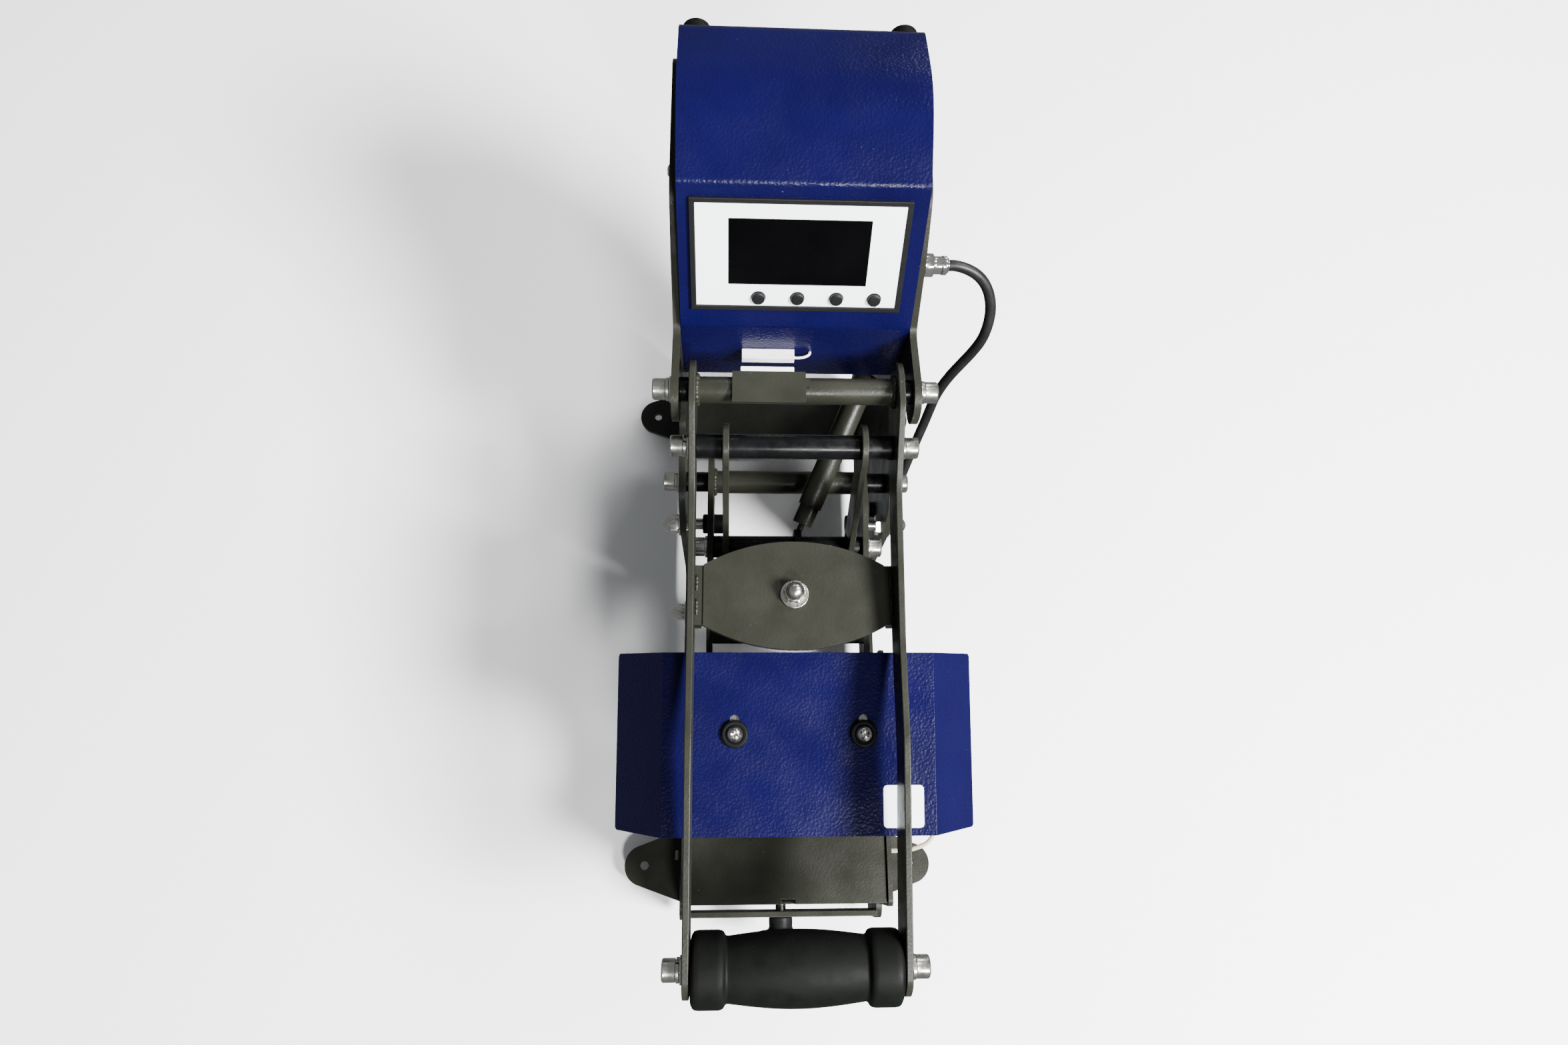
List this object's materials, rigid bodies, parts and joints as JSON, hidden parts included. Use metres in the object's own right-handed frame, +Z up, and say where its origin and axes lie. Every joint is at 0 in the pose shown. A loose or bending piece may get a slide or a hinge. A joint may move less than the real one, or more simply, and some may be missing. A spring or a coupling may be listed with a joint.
{
  "type": "mug heat press",
  "caption": "Clamshell press that wraps a mug between two heated half-round jaws, closed by a hand lever through a toggle, with a control head on its column.",
  "frame": {"origin": "middle of the footprint, at the underside of the rubber feet", "axes": "+X across the machine to its right, +Y from the handle to the column at the rear, +Z up"},
  "size_m": [0.2493, 0.54, 0.4138],
  "materials": {
    "steel_grey_paint": "hammered olive-grey powder coat",
    "blue_paint": "wrinkled navy-blue powder coat",
    "dark_sheet": "fine satin black powder coat",
    "zinc_hardware": "bright zinc plate",
    "chrome_plating": "polished nickel plate",
    "black_oxide_steel": "black oxide, oiled",
    "bare_steel": "rolled steel",
    "black_rubber": "matt moulded rubber",
    "black_plastic": "moulded, lightly textured",
    "white_plastic": "moulded, smooth",
    "white_face": "smooth matt film",
    "red_plastic": "moulded, glossy",
    "display_glass": "dark glossy window",
    "board_green": "solder resist",
    "silicone_pad": "silicone rubber, cloth-marked",
    "glass_sleeving": "braided glass sleeving"
  },
  "bodies": {
    "frame": {"side_plate_left": "steel_grey_paint", "side_plate_right": "steel_grey_paint", "base_plates": "steel_grey_paint", "rubber_feet": "black_rubber", "front_cross_bar": "steel_grey_paint", "bed_box": "steel_grey_paint", "bed_cheeks": "steel_grey_paint", "lower_saddle": "bare_steel", "lower_heater_pad": "silicone_pad", "heater_lead": "glass_sleeving", "housing_cover": "blue_paint", "rear_panel": "dark_sheet", "display_bezel": "black_plastic", "face_plate": "white_face", "display_window": "display_glass", "circuit_board": "board_green", "power_supply": "bare_steel", "power_inlet": "black_plastic", "reed_switch": "white_plastic", "cable_socket": "chrome_plating", "cable_plug": "chrome_plating", "heater_cable": "black_rubber", "cable_gland": "black_plastic", "housing_screws": "zinc_hardware", "pivot_bolts": "zinc_hardware", "pivot_spacers": "black_oxide_steel", "side_studs": "zinc_hardware", "stop_bumpers": "black_rubber"},
    "lever": {"lever_arms": "steel_grey_paint", "pivot_tube": "steel_grey_paint", "magnet_bracket": "steel_grey_paint", "magnet": "white_plastic", "oval_brace": "steel_grey_paint", "buffer_stud": "zinc_hardware", "toggle_shaft": "black_oxide_steel", "lever_bolts": "zinc_hardware", "handle_core": "bare_steel", "handle_grip": "black_rubber"},
    "links": {"toggle_links": "steel_grey_paint"},
    "head": {"press_arms": "steel_grey_paint", "press_pivot_tube": "steel_grey_paint", "link_shaft": "black_oxide_steel", "link_shaft_bolts": "zinc_hardware", "head_plates": "black_oxide_steel", "rubber_buffer": "black_rubber", "head_cover": "blue_paint", "upper_saddle": "bare_steel", "upper_heater_pad": "silicone_pad", "cover_grommets": "black_rubber", "cover_screws": "zinc_hardware", "blank_label": "white_face"},
    "spring_guard": {"spring_tube": "steel_grey_paint"},
    "spring_rod": {"pull_rod": "black_oxide_steel"},
    "pressure_pad": {"screw_pad": "zinc_hardware"},
    "pressure_knob": {"adjusting_knob": "black_plastic"},
    "rocker": {"power_rocker": "red_plastic"},
    "up_key": {"key_up": "black_plastic"},
    "enter_key": {"key_enter": "black_plastic"},
    "down_key": {"key_down": "black_plastic"},
    "reset_key": {"key_reset": "black_plastic"}
  },
  "joints": [
    {"name": "lever_lift", "type": "hinge", "parent": "frame", "child": "lever", "pos_m": [0, 0.079, 0.302], "axis": [-1, 0, 0], "range_deg": [0, 45]},
    {"name": "head_lift", "type": "hinge", "parent": "frame", "child": "head", "pos_m": [0, 0.063, 0.185], "axis": [-1, 0, 0], "range_deg": [0, 25.83]},
    {"name": "link_swing", "type": "hinge", "parent": "lever", "child": "links", "pos_m": [0, 0.049, 0.286], "axis": [-1, 0, 0], "range_deg": [-53.51, 0]},
    {"name": "spring_swing", "type": "hinge", "parent": "frame", "child": "spring_guard", "pos_m": [0.06, 0.138, 0.243], "axis": [-1, 0, 0], "range_deg": [0, 8.2]},
    {"name": "spring_stroke", "type": "slide", "parent": "spring_guard", "child": "spring_rod", "axis": [0.3902, 0.8626, 0.3218], "range_m": [0, 0.01659]},
    {"name": "screw_feed", "type": "slide", "parent": "frame", "child": "pressure_pad", "axis": [0, -1, 0], "range_m": [0, 0.00375]},
    {"name": "knob_turn", "type": "hinge", "parent": "pressure_pad", "child": "pressure_knob", "pos_m": [0, -0.2316, 0.054], "axis": [0, -1, 0], "range_deg": [0, 1081]},
    {"name": "rocker_tip", "type": "hinge", "parent": "frame", "child": "rocker", "pos_m": [0.0135, 0.259, 0.29], "axis": [1, 0, 0], "range_deg": [0, 14]},
    {"name": "up_press", "type": "slide", "parent": "frame", "child": "up_key", "axis": [0, 0.8987, -0.4386], "range_m": [0, 0.0012], "stiffness_N_per_m": 300, "springref_m": -0.0004},
    {"name": "enter_press", "type": "slide", "parent": "frame", "child": "enter_key", "axis": [0, 0.8987, -0.4386], "range_m": [0, 0.0012], "stiffness_N_per_m": 300, "springref_m": -0.0004},
    {"name": "down_press", "type": "slide", "parent": "frame", "child": "down_key", "axis": [0, 0.8987, -0.4386], "range_m": [0, 0.0012], "stiffness_N_per_m": 300, "springref_m": -0.0004},
    {"name": "reset_press", "type": "slide", "parent": "frame", "child": "reset_key", "axis": [0, 0.8987, -0.4386], "range_m": [0, 0.0012], "stiffness_N_per_m": 300, "springref_m": -0.0004}
  ],
  "couplings": [
    {"joint": "head_lift", "follows": "lever_lift", "ratio": 0.5717},
    {"joint": "link_swing", "follows": "lever_lift", "ratio": -1.1869},
    {"joint": "spring_swing", "follows": "lever_lift", "ratio": 0.18},
    {"joint": "spring_stroke", "follows": "lever_lift", "m_per_rad": 0.021},
    {"joint": "knob_turn", "follows": "screw_feed", "rad_per_m": 5026.5}
  ]
}
